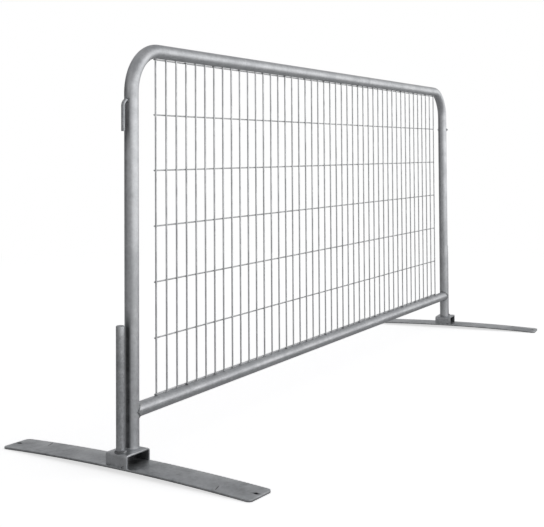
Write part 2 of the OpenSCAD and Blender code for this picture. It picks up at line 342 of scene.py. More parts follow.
FINISHES = (
    ZincFinish(Slot.TUBE, pale=(0.64, 0.652, 0.668), dull=(0.56, 0.573, 0.59), patch=0.09,
               spangle_contrast=0.05, drain=0.16, grime=0.12, rough_low=0.36, rough_high=0.47,
               relief=0.0002, mottle=0.05),
    ZincFinish(Slot.WIRE, pale=(0.72, 0.73, 0.74), dull=(0.58, 0.59, 0.60), patch=0.05,
               spangle=0.003, spangle_contrast=0.04, drain=0.1, grime=0.06, rough_low=0.38,
               rough_high=0.55, relief=0.0001, mottle=0.04),
    ZincFinish(Slot.ROD, pale=(0.50, 0.512, 0.525), dull=(0.40, 0.412, 0.425), patch=0.07,
               spangle=0.005, drain=0.4, rough_low=0.36, rough_high=0.55),
    ZincFinish(Slot.PLATE, pale=(0.54, 0.553, 0.569), dull=(0.46, 0.473, 0.488), patch=0.14,
               spangle=0.009, spangle_contrast=0.08, drain_stretch=(1, 0.08, 1), drain=0.16,
               grime=0.22, rough_low=0.40, rough_high=0.58, mottle=0.07),
    ZincFinish(Slot.WELD, pale=(0.42, 0.43, 0.44), dull=(0.22, 0.225, 0.23), patch=0.02,
               spangle=0.004, drain=0.15, grime=0.55, rough_low=0.4, rough_high=0.65,
               relief=0.0005),
)


class Finishes:
    """The materials of all finishes, by slot."""

    def __init__(self, finishes: Iterable[ZincFinish]) -> None:
        """Builds every material.

        Args:
            finishes: one finish for each slot.
        """
        self.materials = {finish.slot: finish.material() for finish in finishes}

    def dress(self, piece: Piece, slot: Slot) -> None:
        """Gives a piece its finish."""
        piece.data.materials.clear()
        piece.data.materials.append(self.materials[slot])


# ---- Mesh tools ----


def stand(name: str, data: bpy.types.ID) -> Piece:
    """Puts an object with the given data into the scene."""
    thing = bpy.data.objects.new(name, data)
    bpy.context.scene.collection.objects.link(thing)
    return thing


def seat(name: str, mesh: BMesh, place: Matrix | None = None) -> Piece:
    """Makes an object of a finished bmesh, with its place in its mesh.

    Args:
        name: the piece's name.
        mesh: the shape, which is used up.
        place: where a shape drawn in a frame of its own goes.

    Returns:
        The object, at the origin and smooth between its sharp edges.
    """
    if place is not None:
        bmesh.ops.transform(mesh, matrix=place, verts=mesh.verts)
    bmesh.ops.recalc_face_normals(mesh, faces=mesh.faces)
    data = bpy.data.meshes.new(name)
    mesh.to_mesh(data)
    mesh.free()
    data.shade_smooth()
    data.set_sharp_from_angle(angle=math.radians(38))
    return stand(name, data)


def new_mesh() -> BMesh:
    """Starts a bmesh that can carry the marks of edge wear, and of dirt and painted shade."""
    mesh = bmesh.new()
    for mark in (EDGE_MARK, SHADE_AND_SOIL_MARK):
        mesh.verts.layers.float.new(mark)
    return mesh


def arc(start: float, sweep: float, radius: float, steps: int = 8) -> list[Vector]:
    """Points of an arc round the origin, in the plane of X and Y.

    Args:
        start: angle of the first point, in degrees.
        sweep: how far the arc goes, in degrees.
        radius: radius of the arc.
        steps: spaces between its points.

    Returns:
        The points.
    """
    angles = [math.radians(start + sweep * i / steps) for i in range(steps + 1)]
    return [Vector((math.cos(angle), math.sin(angle), 0)) * radius for angle in angles]


def once(items: Iterable[Any]) -> list[Any]:
    """Each of some items once, in the order in which they first come."""
    return list(dict.fromkeys(items))


def picked(made: Iterable[Any], kind: type) -> list[Any]:
    """Vertices, edges or faces among what an operator made."""
    return [item for item in made if isinstance(item, kind)]


def cut(mesh: BMesh, place: Vector, across: Vector) -> None:
    """Cuts every face where a plane crosses it, and leaves the shape whole.

    Args:
        mesh: the shape.
        place: a point of the plane.
        across: direction square to the plane.
    """
    everything = [*mesh.verts, *mesh.edges, *mesh.faces]
    bmesh.ops.bisect_plane(mesh, geom=everything, dist=1e-7, plane_co=place, plane_no=across)


def thicken(mesh: BMesh, way: Vector) -> None:
    """Draws a flat shape out along a vector into a solid."""
    made = bmesh.ops.extrude_face_region(mesh, geom=mesh.faces[:])["geom"]
    bmesh.ops.translate(mesh, verts=picked(made, BMVert), vec=way)


def shade_and_soil(mesh: BMesh, amount: Callable[[Vector], float]) -> None:
    """Marks how much painted shade and caked dirt each place of a shape gets.

    Args:
        mesh: the shape.
        amount: gives the share of painted shade and dirt at a point of the shape.
    """
    mark = mesh.verts.layers.float[SHADE_AND_SOIL_MARK]
    for vert in mesh.verts:
        vert[mark] = amount(vert.co)


def soften(mesh: BMesh, width: float, steps: int = 2, sharper: float = 50.0) -> None:
    """Bevels the sharp edges of a shape and marks them as worn.

    Args:
        mesh: the shape.
        width: width of the bevel in metres.
        steps: segments of the bevel.
        sharper: least angle between faces, in degrees, of an edge that is bevelled.
    """
    limit = math.radians(sharper)
    edges = [e for e in mesh.edges if len(e.link_faces) == 2 and e.calc_face_angle() > limit]
    made = bmesh.ops.bevel(mesh, geom=edges, offset=width, offset_type="OFFSET", segments=steps,
                           affect="EDGES", profile=0.5, material=-1, clamp_overlap=True)
    mark = mesh.verts.layers.float[EDGE_MARK]
    for vert in made["verts"]:
        vert[mark] = 1.0


class Run:
    """A round section led along straights and bends, as a tube is in a bender."""

    def __init__(self, mesh: BMesh, start: Vector, heading: Vector, radius: float,
                 sides: int) -> None:
        """Draws the first ring.

        Args:
            mesh: the bmesh that is drawn into.
            start: middle of the first ring.
            heading: direction of the run.
            radius: radius of the section.
            sides: sides of the section.
        """
        self.mesh, self.point, self.heading = mesh, start.copy(), heading.normalized()
        turn = Z_AXIS.rotation_difference(self.heading).to_matrix().to_4x4()
        made = bmesh.ops.create_circle(mesh, cap_ends=False, radius=radius, segments=sides,
                                       matrix=Matrix.Translation(start) @ turn)
        self.ring = once(edge for vert in made["verts"] for edge in vert.link_edges)
        self.first = self.ring

    def straight(self, length: float, steps: int = 1) -> "Run":
        """Leads the section straight on.

        Args:
            length: how far, in metres.
            steps: rings along the way.

        Returns:
            The run itself.
        """
        move = self.heading * (length / steps)
        for _ in range(steps):
            made = bmesh.ops.extrude_edge_only(self.mesh, edges=self.ring)["geom"]
            bmesh.ops.translate(self.mesh, verts=picked(made, BMVert), vec=move)
            self.ring = picked(made, BMEdge)
        self.point += self.heading * length
        return self

    def bend(self, centre: Vector, axis: Vector, angle: float, steps: int) -> "Run":
        """Leads the section round a bend.

        Args:
            centre: middle of the bend.
            axis: axis of the bend.
            angle: how far, in degrees, by the right-hand rule.
            steps: rings along the way.

        Returns:
            The run itself.
        """
        verts = once(vert for edge in self.ring for vert in edge.verts)
        made = bmesh.ops.spin(self.mesh, geom=verts + self.ring, cent=centre, axis=axis,
                              angle=math.radians(angle), steps=steps)["geom_last"]
        self.ring = picked(made, BMEdge)
        turn = Matrix.Rotation(math.radians(angle), 3, axis)
        self.point = centre + turn @ (self.point - centre)
        self.heading = turn @ self.heading
        return self

    def cap(self, both: bool = True) -> None:
        """Closes the last end, or both ends."""
        for ring in (self.ring, self.first) if both else (self.ring,):
            bmesh.ops.contextual_create(self.mesh, geom=ring)


def join_walls(mesh: BMesh, outer: Run, inner: Run) -> None:
    """Closes the ends of a tube between its outer and inner walls."""
    for rings in ((outer.first, inner.first), (outer.ring, inner.ring)):
        bmesh.ops.bridge_loops(mesh, edges=[*rings[0], *rings[1]])


def solid_rod(mesh: BMesh, start: Vector, end: Vector, radius: float, sides: int,
              steps: int = 1) -> None:
    """Draws a closed round bar between two points."""
    way = end - start
    Run(mesh, start, way, radius, sides).straight(way.length, steps).cap()


def lump(mesh: BMesh, centre: Vector, radii: Sequence[float], rough: float = 0.22,
         finer: int = 2) -> None:
    """Draws one uneven blob of weld or zinc.

    Args:
        mesh: the bmesh that is drawn into.
        centre: middle of the blob.
        radii: half sizes along X, Y and Z.
        rough: share of the radius that the surface wanders.
        finer: subdivisions of the blob.
    """
    size = Matrix.Diagonal((*radii, 1))
    made = bmesh.ops.create_icosphere(mesh, subdivisions=finer, radius=1,
                                      matrix=Matrix.Translation(centre) @ size)
    for vert in made["verts"]:
        away = vert.co - centre
        wander = noise.noise(vert.co / (0.7 * max(radii)))
        vert.co = centre + away * (1 + rough * wander)


def weld_bead(name: str, path: Callable[[float], Vector], length: float, radius: float,
              closed: bool = True, ripple: float = 0.0024, uneven: float = 0.16) -> BMesh:
    """Draws a weld bead with its ripples.

    Args:
        name: name of the curve while it is drawn.
        path: gives the bead's middle at a share from 0 to 1 of its way.
        length: length of the path in metres.
        radius: mean radius of the bead.
        closed: whether the bead ends where it starts.
        ripple: spacing of the ripples in metres.
        uneven: share of the radius that the bead swells and shrinks.

    Returns:
        The bead as a bmesh.
    """
    wander_l, shake_l, points_each = 6 * MM, 4 * MM, 5
    count = max(8, round(length / (ripple / points_each)))
    ripples = round(length / ripple)
    curve = bpy.data.curves.new(name, "CURVE")
    curve.dimensions = "3D"
    curve.bevel_depth = radius
    curve.bevel_resolution = 2
    curve.use_fill_caps = True
    line = curve.splines.new("POLY")
    line.points.add(count - 1)
    line.use_cyclic_u = closed
    for i, point in enumerate(line.points):
        share = i / count if closed else i / (count - 1)
        place = path(share)
        wander = noise.noise(place / wander_l)
        swell = 0.10 * math.sin(2 * math.pi * ripples * share)
        point.co = (*(place + 0.10 * radius * noise.noise_vector(place / shake_l)), 1)
        fade = 1.0 if closed else min(1.0, 0.45 + 6 * min(share, 1 - share))
        point.radius = (1 + swell + uneven * wander) * fade
    drawn = bpy.data.objects.new(name, curve)
    data = bpy.data.meshes.new_from_object(drawn)
    mesh = new_mesh()
    mesh.from_mesh(data)
    bmesh.ops.remove_doubles(mesh, verts=mesh.verts, dist=1e-6)
    bpy.data.objects.remove(drawn)
    bpy.data.curves.remove(curve)
    bpy.data.meshes.remove(data)
    return mesh


def merged(parts: Iterable[BMesh]) -> BMesh:
    """Puts several shapes into one bmesh."""
    whole = new_mesh()
    for part in parts:
        data = bpy.data.meshes.new("part")
        part.to_mesh(data)
        part.free()
        whole.from_mesh(data)
        bpy.data.meshes.remove(data)
    return whole


# ---- The barrier's own measures, read from the frame ----


@dataclass(frozen=True)
class Measures:
    """Places that the pieces share, worked out from the frame."""

    left_x: float
    right_x: float
    tube_r: float
    leg_low: float
    top_z: float
    rail_z: float
    first_x: float
    last_x: float
    upright_y: float
    upright_r: float
    upright_low: float
    upright_high: float
    line_y: float
    line_r: float
    line_heights: tuple[float, ...]

    @classmethod
    def from_frame(cls) -> "Measures":
        """Reads the boxes of the frame's nodes.

        Returns:
            The shared places.
        """
        hoop, rail, wires = (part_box(n) for n in ("hoop", "bottom_rail", "upright_wires"))
        tube_r = (rail[1].z - rail[0].z) / 2
        lines = [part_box(f"line_wire_{i}") for i in range(1, 8)]
        line_r = (lines[0][1].z - lines[0][0].z) / 2
        upright_r = (wires[1].y - wires[0].y) / 2
        return cls(
            left_x=hoop[0].x + tube_r, right_x=hoop[1].x - tube_r, tube_r=tube_r,
            leg_low=hoop[0].z, top_z=hoop[1].z - tube_r, rail_z=rail[0].z + tube_r,
            first_x=wires[0].x + upright_r, last_x=wires[1].x - upright_r,
            upright_y=(wires[0].y + wires[1].y) / 2, upright_r=upright_r,
            upright_low=wires[0].z, upright_high=wires[1].z,
            line_y=(lines[0][0].y + lines[0][1].y) / 2, line_r=line_r,
            line_heights=tuple((low.z + high.z) / 2 for low, high in lines),
        )

    def leg_x(self, side: Side) -> float:
        """X of a leg's axis."""
        return self.left_x if side is Side.LEFT else self.right_x


# ---- Tube frame ----


@dataclass
class TubeFrame:
    """The bent hoop, the bottom rail and the beads that join them."""

    at: Measures
    wall: float = 2 * MM
    corner_r: float = 118 * MM
    sides: int = 48
    bend_steps: int = 28
    flattening: float = 0.025
    bead_r: float = 2.4 * MM
    # Painted shade on a leg's outer side: where it starts round the leg, and how far it fades in.
    shaded_from: float = 0.86
    shaded_fade: float = 0.12
    spigot_shade: float = 0.37
    hook_shade: tuple[float, float] = (0.85, 0.94)

    def hoop_run(self, mesh: BMesh, radius: float) -> Run:
        """Leads a round section up one leg, over the top and down the other.

        Args:
            mesh: the bmesh that is drawn into.
            radius: radius of the section.

        Returns:
            The run.
        """
        at, corner_z = self.at, self.at.top_z - self.corner_r
        leg = corner_z - at.leg_low
        across = at.right_x - at.left_x - 2 * self.corner_r
        run = Run(mesh, Vector((at.left_x, 0, at.leg_low)), Z_AXIS, radius, self.sides)
        run.straight(leg, 18)
        run.bend(Vector((at.left_x + self.corner_r, 0, corner_z)), Y_AXIS, 90, self.bend_steps)
        run.straight(across, 16)
        run.bend(Vector((at.right_x - self.corner_r, 0, corner_z)), Y_AXIS, 90, self.bend_steps)
        run.straight(leg, 18)
        return run

    def shade(self, place: Vector) -> float:
        """Painted shade on a leg's outer side, behind the spare spigot and the hook.

        Args:
            place: a point of the hoop.

        Returns:
            The share of painted shade.
        """
        side = Side.LEFT if place.x < 0 else Side.RIGHT
        away = Vector((place.x - self.at.leg_x(side), place.y, 0))
        if away.length > 1.05 * self.at.tube_r or away.length < 0.96 * self.at.tube_r:
            return 0.0
        outward = away.normalized().x * side.outward
        facing = min(1.0, max(0.0, outward - self.shaded_from) / self.shaded_fade)
        low, high = self.hook_shade
        if place.z < self.spigot_shade:
            return 0.9 * facing
        return 0.63 * facing if side is Side.LEFT and low < place.z < high else 0.0

    def flatten_bends(self, mesh: BMesh) -> None:
        """Makes the section slightly oval in the middle of each bend, as bending does."""
        corner_z = self.at.top_z - self.corner_r
        for vert in mesh.verts:
            for side in Side:
                centre = Vector((self.at.leg_x(side) - side.outward * self.corner_r, 0, corner_z))
                away = vert.co - centre
                if away.z <= 0 or away.x * side.outward <= 0:
                    continue
                flat = Vector((away.x, 0, away.z))
                middle = math.sin(2 * math.atan2(flat.z, abs(flat.x)))
                depth = flat.length - self.corner_r
                flat *= (self.corner_r + depth * (1 - self.flattening * middle)) / flat.length
                wide = away.y * (1 + 0.5 * self.flattening * middle)
                vert.co = centre + Vector((flat.x, wide, flat.z))

    def build_hoop(self) -> Piece:
        """Draws the hoop with its wall and open leg ends.

        Returns:
            The hoop.
        """
        mesh = new_mesh()
        outer = self.hoop_run(mesh, self.at.tube_r)
        inner = self.hoop_run(mesh, self.at.tube_r - self.wall)
        self.flatten_bends(mesh)
        join_walls(mesh, outer, inner)
        # Painted shade on the legs' outer sides beside the spare spigot and the hook.
        shade_and_soil(mesh, self.shade)
        soften(mesh, 0.4 * MM, steps=1)
        return seat("hoop_tube", mesh)

    def build_rail(self) -> Piece:
        """Draws the bottom rail, whose ends are coped to the legs.

        Returns:
            The rail.
        """
        at, mesh = self.at, new_mesh()
        start = Vector((at.left_x, 0, at.rail_z))
        walls = []
        for radius in (at.tube_r, at.tube_r - self.wall):
            run = Run(mesh, start, X_AXIS, radius, self.sides)
            walls.append(run.straight(at.right_x - at.left_x, 20))
        ends = ((at.left_x, 1), (at.right_x, -1))
        for vert in mesh.verts:
            for leg_x, inward in ends:
                if abs(vert.co.x - leg_x) < MM:
                    room = max(0.0, at.tube_r ** 2 - vert.co.y ** 2)
                    vert.co.x = leg_x + inward * math.sqrt(room)
        join_walls(mesh, *walls)
        return seat("bottom_rail_tube", mesh)

    def build_bead(self, side: Side) -> Piece:
        """Draws the bead round one end of the bottom rail.

        Args:
            side: which leg.

        Returns:
            The bead.
        """
        at = self.at
        reach = at.tube_r + 0.3 * self.bead_r

        def joint(share: float) -> Vector:
            """Point on the joint between rail and leg."""
            angle = 2 * math.pi * share
            y, up = reach * math.sin(angle), reach * math.cos(angle)
            out = math.sqrt(max(0.0, reach ** 2 - y ** 2))
            return Vector((at.leg_x(side) - side.outward * out, y, at.rail_z + up))

        name = f"rail_weld_bead_{side.value}"
        length = 2 * math.pi * at.tube_r * 1.22
        return seat(name, weld_bead(name, joint, length, self.bead_r, uneven=0.08))

    def build(self, finishes: Finishes) -> None:
        """Draws, dresses and seats every piece of the frame."""
        hoop, rail = self.build_hoop(), self.build_rail()
        attach(hoop, "panel", finishes, Slot.TUBE, "hoop")
        attach(rail, "panel", finishes, Slot.TUBE, "bottom_rail")
        for side in Side:
            bead = self.build_bead(side)
            attach(bead, "panel", finishes, Slot.WELD, f"rail_weld_{side.value}")


def attach(piece: Piece, body: str, finishes: Finishes, slot: Slot, *nodes: str) -> None:
    """Dresses a piece, seats it on its body and lets it stand for its nodes.

    Args:
        piece: the finished piece.
        body: the body that it moves with.
        finishes: all finishes.
        slot: the piece's finish.
        nodes: the frame's nodes that it stands for.
    """
    finishes.dress(piece, slot)
    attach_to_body(piece, body)
    if nodes:
        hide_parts(*nodes)
    LOG.info("%s: %d faces on %s", piece.name, len(piece.data.polygons), body)


# ---- Wire infill ----


@dataclass
class WireInfill:
    """Upright and lengthwise wires, their crossings and the welds at the rails."""

    at: Measures
    count: int = 45
    tack_every: int = 3
    wave: float = 0.35 * MM
    wave_l: float = 210 * MM
    fillet: Size = (3.5 * MM, 1.5 * MM, 3.1 * MM)
    tack: Size = (5.4 * MM, 4.0 * MM, 3.6 * MM)
    drip: Size = (3.0 * MM, 2.8 * MM, 2.6 * MM)
    sides: int = 10

    def upright_x(self, number: int) -> float:
        """X of an upright wire."""
        share = number / (self.count - 1)
        return self.at.first_x + share * (self.at.last_x - self.at.first_x)

    def tacked(self) -> list[int]:
        """Numbers of the uprights that are welded to the rails."""
        last = self.count - 1
        return [i for i in range(self.count) if i % self.tack_every == 0 or i == last]

    def sway(self, mesh: BMesh, along: int) -> None:
        """Takes the dead straightness out of drawn wires, the same at each crossing.

        Args:
            mesh: the wires.
            along: index of the axis that the wires follow.
        """
        for vert in mesh.verts:
            place = Vector((vert.co.x, 0, vert.co.z)) / self.wave_l
            if along == 0:
                vert.co.z += self.wave * noise.noise(place + Y_AXIS)
            else:
                vert.co.x += self.wave * noise.noise(place)

    def build_uprights(self) -> Piece:
        """Draws all upright wires.

        Returns:
            The wires.
        """
        at, mesh = self.at, new_mesh()
        for i in range(self.count):
            low = Vector((self.upright_x(i), at.upright_y, at.upright_low))
            high = Vector((self.upright_x(i), at.upright_y, at.upright_high - self.short_by(i)))
            solid_rod(mesh, low, high, at.upright_r, self.sides, 14)
        self.sway(mesh, 2)
        return seat("upright_wire_set", mesh)

    def short_by(self, number: int) -> float:
        """How far an upright ends below the highest one, so that it stays out of the hoop."""
        box_top = self.at.top_z - self.at.tube_r
        return max(0.0, self.at.upright_high - box_top) + (0.9 * MM if number == 0 else 0.0)

    def build_line(self, number: int) -> Piece:
        """Draws one lengthwise wire.

        Args:
            number: 1 for the highest wire.

        Returns:
            The wire.
        """
        at, mesh = self.at, new_mesh()
        height = at.line_heights[number - 1]
        start = Vector((at.first_x - at.upright_r, at.line_y, height))
        end = Vector((at.last_x + at.upright_r, at.line_y, height))
        solid_rod(mesh, start, end, at.line_r, self.sides, 44)
        self.sway(mesh, 0)
        soften(mesh, 0.4 * MM, steps=1)
        return seat(f"line_wire_rod_{number}", mesh)

    def build_crossings(self) -> Piece:
        """Draws the zinc that fills the corners of each resistance weld.

        Returns:
            The fillets of all crossings.
        """
        at, mesh = self.at, new_mesh()
        middle = at.upright_y + at.upright_r
        for height in at.line_heights:
            for i in range(self.count):
                centre = Vector((self.upright_x(i), middle, height))
                lump(mesh, centre, self.fillet, rough=0.2, finer=1)
        return seat("wire_crossing_fillets", mesh)

    def build_tacks(self, name: str, edge: float, line: float) -> Piece:
        """Draws the welds between a rail and every third upright.

        Args:
            name: the piece's name.
            edge: height of the rail's side that faces the wires.
            line: height of the lengthwise wire beside the rail.

        Returns:
            The welds.
        """
        mesh = new_mesh()
        towards = math.copysign(1, line - edge)
        y, z = self.at.upright_y * 0.6, edge + towards * 0.8 * MM
        for i in self.tacked():
            centre = Vector((self.upright_x(i), y, z))
            lump(mesh, centre, self.tack, rough=0.4)
            beside = centre + Vector((2.6 * MM, 0.4 * MM, towards * 1.6 * MM))
            lump(mesh, beside, self.drip, rough=0.4)
        return seat(name, mesh)

    def build(self, finishes: Finishes) -> None:
        """Draws, dresses and seats every piece of the infill."""
        at = self.at
        attach(self.build_uprights(), "panel", finishes, Slot.WIRE, "upright_wires")
        for number in range(1, len(at.line_heights) + 1):
            wire = self.build_line(number)
            attach(wire, "panel", finishes, Slot.WIRE, f"line_wire_{number}")
        attach(self.build_crossings(), "panel", finishes, Slot.WIRE)
        top = self.build_tacks("top_tack_welds", at.top_z - at.tube_r, at.line_heights[0])
        low = self.build_tacks("bottom_tack_welds", at.rail_z + at.tube_r, at.line_heights[-1])
        attach(top, "panel", finishes, Slot.WELD, "top_tacks")
        attach(low, "panel", finishes, Slot.WELD, "bottom_tacks")


# ---- Coupling ----


@dataclass
class Coupling:
    """The hook on the left leg and the eye on the right leg, with their beads."""

    at: Measures
    hook_r: float = 5 * MM
    hook_bend: float = 16 * MM
    eye_r: float = 4 * MM
    nose_r: float = 10 * MM
    spread: float = 30.0
    fused: float = 0.5 * MM
    bead_r: float = 2.5 * MM
    seam_r: float = 2.2 * MM
    seam_l: float = 14 * MM
    seam_in: float = 3.0 * MM
    seam_up: float = 3.1 * MM
    sides: int = 24

    def build_hook(self) -> Piece:
        """Bends the hook out of round rod.

        Returns:
            The hook.
        """
        low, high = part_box("hook")
        root_z, drop_x = high.z - self.hook_r, low.x + self.hook_r
        mesh = new_mesh()
        start = Vector((self.at.left_x - 0.8 * self.at.tube_r, 0, root_z))
        run = Run(mesh, start, -X_AXIS, self.hook_r, self.sides)
        run.straight(start.x - drop_x - self.hook_bend, 2)
        centre = Vector((drop_x + self.hook_bend, 0, root_z - self.hook_bend))
        run.bend(centre, Y_AXIS, -90, 14)
        run.straight(run.point.z - low.z, 4).cap()
        soften(mesh, 1.3 * MM, steps=3)
        return seat("hook_rod", mesh)

    def build_hook_bead(self) -> Piece:
        """Draws the bead round the hook's root.

        Returns:
            The bead.
        """
        at, root_z = self.at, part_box("hook")[1].z - self.hook_r
        ring = self.hook_r + 0.5 * self.bead_r

        def joint(share: float) -> Vector:
            """Point on the joint between rod and leg."""
            angle = 2 * math.pi * share
            y, up = ring * math.sin(angle), ring * math.cos(angle)
            return Vector((at.left_x - math.sqrt(at.tube_r ** 2 - y ** 2), y, root_z + up))

        mesh = weld_bead("hook_weld_bead", joint, 2 * math.pi * ring, self.bead_r, uneven=0.3)
        return seat("hook_weld_bead", mesh)

    def eye_side(self) -> float:
        """Distance from the leg's axis to the axis of the eye's rod beside it."""
        return self.at.tube_r + self.eye_r - self.fused

    def eye_centre(self) -> Vector:
        """Middle of the eye's nose."""
        low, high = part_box("eye")
        return Vector((high.x - self.eye_r - self.nose_r, 0, (low.z + high.z) / 2))

    def arm(self, side: int, share: float) -> Vector:
        """Point on the axis of one arm of the eye.

        Args:
            side: 1 or -1 along Y.
            share: 0 at the nose and 1 where the arm touches the leg.

        Returns:
            The point.
        """
        spread = math.radians(self.spread)
        reach = share * (self.eye_side() - self.nose_r) / math.tan(spread)
        x = self.nose_r * math.sin(spread) - reach * math.cos(spread)
        y = self.nose_r * math.cos(spread) + reach * math.sin(spread)
        return self.eye_centre() + Vector((x, side * y, 0))

    def build_eye(self) -> Piece:
        """Bends the eye out of round rod.

        Returns:
            The eye.
        """
        mesh, start = new_mesh(), self.arm(1, 1.3)
        way = self.arm(1, 0) - start
        run = Run(mesh, start, way, self.eye_r, self.sides).straight(way.length, 4)
        run.bend(self.eye_centre(), Z_AXIS, -(180 - 2 * self.spread), 16)
        run.straight(way.length, 4).cap()
        soften(mesh, 0.8 * MM)
        return seat("eye_rod", mesh)

    def build_eye_bead(self) -> Piece:
        """Draws the beads above and below each arm, where it lies against the leg.

        Returns:
            The beads.
        """
        beads = []
        for side in (-1, 1):
            for up in (-1, 1):
                def seam(share: float, side: int = side, up: int = up) -> Vector:
                    """Point on the seam between arm and leg."""
                    axis = self.arm(side, 0.72 + 0.5 * share)
                    inward = Vector((self.at.right_x - axis.x, -axis.y, 0)).normalized()
                    return axis + inward * self.seam_in + Z_AXIS * (up * self.seam_up)

                bead = weld_bead("eye_seam", seam, self.seam_l, self.seam_r, closed=False)
                beads.append(bead)
        return seat("eye_weld_beads", merged(beads))

    def build(self, finishes: Finishes) -> None:
        """Draws, dresses and seats the hook and the eye."""
        attach(self.build_hook(), "panel", finishes, Slot.ROD, "hook")
        attach(self.build_hook_bead(), "panel", finishes, Slot.WELD, "hook_weld")
        attach(self.build_eye(), "panel", finishes, Slot.ROD, "eye")
        attach(self.build_eye_bead(), "panel", finishes, Slot.WELD, "eye_weld")


# ---- Feet ----


@dataclass
class Foot:
    """One foot: arched bar, saddle, two spigots, seat ring and welds.

    A foot is drawn with its leg's axis at the origin and its spare spigot at -X.
    """

    at: Measures
    side: Side
    bar_l: float = 830 * MM
    bar_w: float = 96 * MM
    bar_t: float = 6 * MM
    arch: float = 11 * MM
    corner_r: float = 13 * MM
    offset: float = 16 * MM
    peg_r: float = 4.5 * MM
    peg_inset: float = 16 * MM
    saddle_w: float = 91 * MM
    saddle_l: float = 70 * MM
    saddle_h: float = 32 * MM
    saddle_t: float = 5 * MM
    saddle_bend: float = 7 * MM
    spigot_r: float = 11 * MM
    spigot_gap: float = 45 * MM
    spigot_chamfer: float = 2 * MM
    ring_t: float = 5 * MM
    bead_r: float = 3.2 * MM
    bead_rise: float = 1.2 * MM
    spigot_through: float = 1 * MM
    ridge: Size = (17 * MM, 1.5 * MM, 0.9 * MM)
    ridge_at: tuple[float, float] = (26 * MM, 305 * MM)
    ridge_turn: float = 20.0
    tack: Size = (2.6 * MM, 7.5 * MM, 3.0 * MM)
    stations: int = 46
    sides: int = 40
    place: Matrix = field(init=False)

    def __post_init__(self) -> None:
        """Works out the foot's place and turn from the frame."""
        leg = Vector((self.at.leg_x(self.side), 0, 0))
        mounts = {m["name"]: m for m in frame["record"]["mounts"]}
        spare = Vector(mounts[f"spare_spigot_{self.side.value}"]["pos_m"])
        away = (spare - leg) * self.side.outward
        turn = Matrix.Rotation(math.atan2(away.y, away.x), 4, "Z")
        flip = Matrix.Diagonal((1 if self.side is Side.LEFT else -1, 1, 1, 1))
        self.place = Matrix.Translation(leg) @ turn @ flip

    @property
    def saddle_bottom(self) -> float:
        """Height of the bar's top at its middle."""
        return self.arch + self.bar_t

    @property
    def saddle_top(self) -> float:
        """Height of the saddle's top."""
        return self.saddle_bottom + self.saddle_h

    @property
    def arch_r(self) -> float:
        """Radius of the arch of the bar's underside."""
        return ((self.bar_l / 2) ** 2 + self.arch ** 2) / (2 * self.arch)

    def sag(self, y: float) -> float:
        """How far the bar lies below its middle at a place along it."""
        return self.arch_r - math.sqrt(self.arch_r ** 2 - y ** 2)

    @property
    def spigot_top(self) -> float:
        """Height of the spigots' tops."""
        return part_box(f"spare_spigot_{self.side.value}")[1].z

    def named(self, piece: str) -> str:
        """Name of a piece of this foot."""
        return f"{piece}_{self.side.value}"

    def build_bar(self) -> Piece:
        """Draws the arched foot bar with its round corners and peg holes.

        Returns:
            The bar.
        """
        mesh = new_mesh()
        half_w, half_l = self.bar_w / 2 - self.corner_r, self.bar_l / 2 - self.corner_r
        outline = []
        for quarter, (x, y) in enumerate(((1, 1), (-1, 1), (-1, -1), (1, -1))):
            middle = Vector((x * half_w, y * half_l, 0))
            outline += [mesh.verts.new(middle + point)
                        for point in arc(90 * quarter, 90, self.corner_r)]
        for first, second in zip(outline, outline[1:] + outline[:1]):
            mesh.edges.new((first, second))
        for end in (-1, 1):
            hole = Matrix.Translation((0, end * (self.bar_l / 2 - self.peg_inset), 0))
            bmesh.ops.create_circle(mesh, radius=self.peg_r, segments=24, matrix=hole)
        bmesh.ops.triangle_fill(mesh, edges=mesh.edges, use_beauty=True, use_dissolve=False)
        bmesh.ops.dissolve_limit(mesh, angle_limit=0.01, verts=mesh.verts, edges=mesh.edges)
        for i in range(1, self.stations):
            cut(mesh, Y_AXIS * (self.bar_l * (i / self.stations - 0.5)), Y_AXIS)
        for beside in (-1, 1):
            cut(mesh, X_AXIS * (beside * 1.5 * self.peg_r), X_AXIS)
        thicken(mesh, Z_AXIS * self.bar_t)
        soften(mesh, 0.7 * MM)
        # Painted shade under the saddle, on the underside and round the peg holes.
        shade_and_soil(mesh, self.bar_shade)
        for vert in mesh.verts:
            rise = vert.co.z
            lean = Vector((0, vert.co.y, self.arch_r - self.arch)).normalized()
            vert.co.z = self.arch - self.sag(vert.co.y) + rise / max(lean.z, 0.9)
            vert.co.z = max(vert.co.z, 0.0)
            vert.co.x -= self.offset
        return seat(self.named("foot_plate"), mesh, self.place)

    def bar_shade(self, place: Vector) -> float:
        """Painted shade on the bar: under the saddle, on its underside and round its peg holes.

        Args:
            place: a point of the bar before it is arched.

        Returns:
            The share of painted shade.
        """
        if place.z < 0.2 * self.bar_t:
            return 0.7
        hole = Vector((0, math.copysign(self.bar_l / 2 - self.peg_inset, place.y), place.z))
        if (place - hole).length < 1.2 * self.peg_r:
            return 1.0
        tunnel = abs(place.y) < self.saddle_l / 2
        return 0.85 if tunnel and abs(place.x) < self.saddle_w / 2 - self.saddle_t else 0.0

    def build_marks(self) -> Piece:
        """Draws the two short ridges that cross the bar near its ends.

        Returns:
            The ridges.
        """
        ridges = []
        turn = Matrix.Rotation(math.radians(self.ridge_turn), 4, "Z")
        for end in (-1, 1):
            x, y = (end * reach for reach in self.ridge_at)
            shift = Matrix.Translation((x - self.offset, y, self.saddle_bottom - self.sag(y)))
            ridge = new_mesh()
            lump(ridge, Vector((0, 0, 0)), self.ridge, rough=0.15)
            bmesh.ops.transform(ridge, matrix=shift @ turn, verts=ridge.verts)
            ridges.append(ridge)
        mesh = merged(ridges)
        shade_and_soil(mesh, lambda place: 0.85)
        return seat(self.named("bar_ridges"), mesh, self.place)

